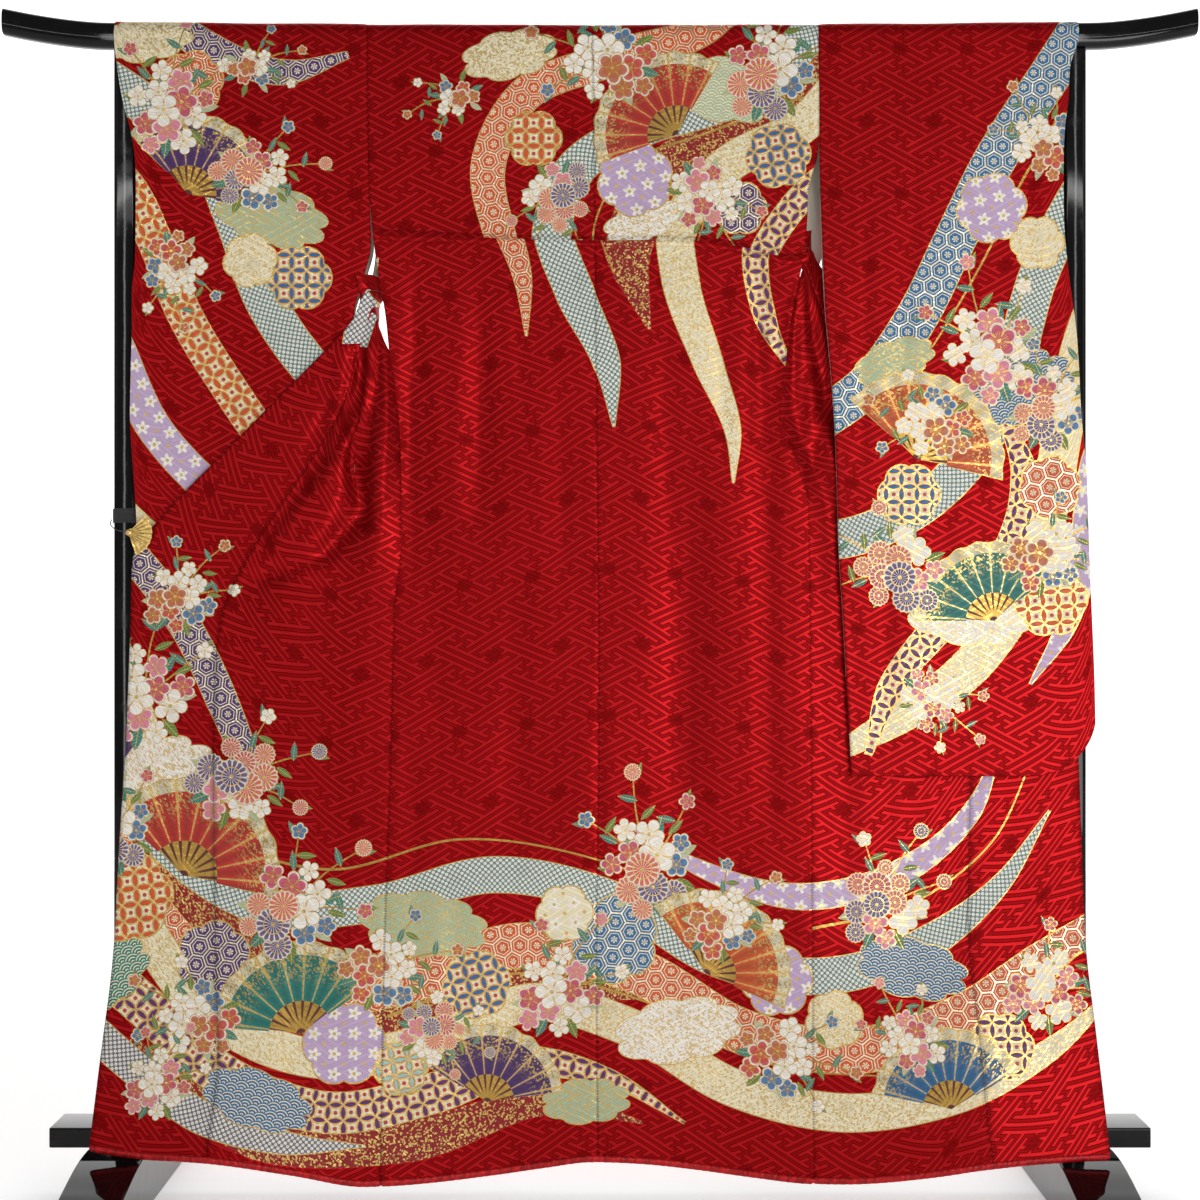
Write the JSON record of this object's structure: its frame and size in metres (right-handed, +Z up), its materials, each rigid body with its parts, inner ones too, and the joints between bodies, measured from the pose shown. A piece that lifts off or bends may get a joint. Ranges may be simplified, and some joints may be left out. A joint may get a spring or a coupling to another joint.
{
  "type": "furisode kimono on a display rack",
  "caption": "Long-sleeved formal kimono hung back outwards over a lacquered wooden rack, with one front edge drawn out and clipped to a pole to show the hem.",
  "frame": {"origin": "on the floor, under the middle of the rack", "axes": "+Z up, +X along the rail to the viewer's right, and the kimono's back faces -Y"},
  "size_m": [1.716, 0.58, 1.7103],
  "materials": {
    "silk": "red figured silk with a soft sheen",
    "satin": "red satin lining",
    "lacquer": "gloss black lacquer",
    "gilt": "polished gilt",
    "cord": "black cord"
  },
  "bodies": {
    "root": {"body_left": "silk", "body_right": "silk", "front_left": "silk", "front_right": "silk", "okumi_left": "silk", "okumi_right": "silk", "sleeve_left": "silk", "sleeve_right": "silk", "collar": "silk", "hem_left": "satin", "hem_back": "satin", "hem_right": "satin", "top_rail": "lacquer", "pole_left": "lacquer", "pole_right": "lacquer", "base_plank": "lacquer", "foot_left": "lacquer", "foot_right": "lacquer", "clip_fan": "gilt", "clip_jaw": "gilt", "clip_pin": "gilt", "cord_band": "cord", "cord_loop": "cord"}
  },
  "joints": []
}
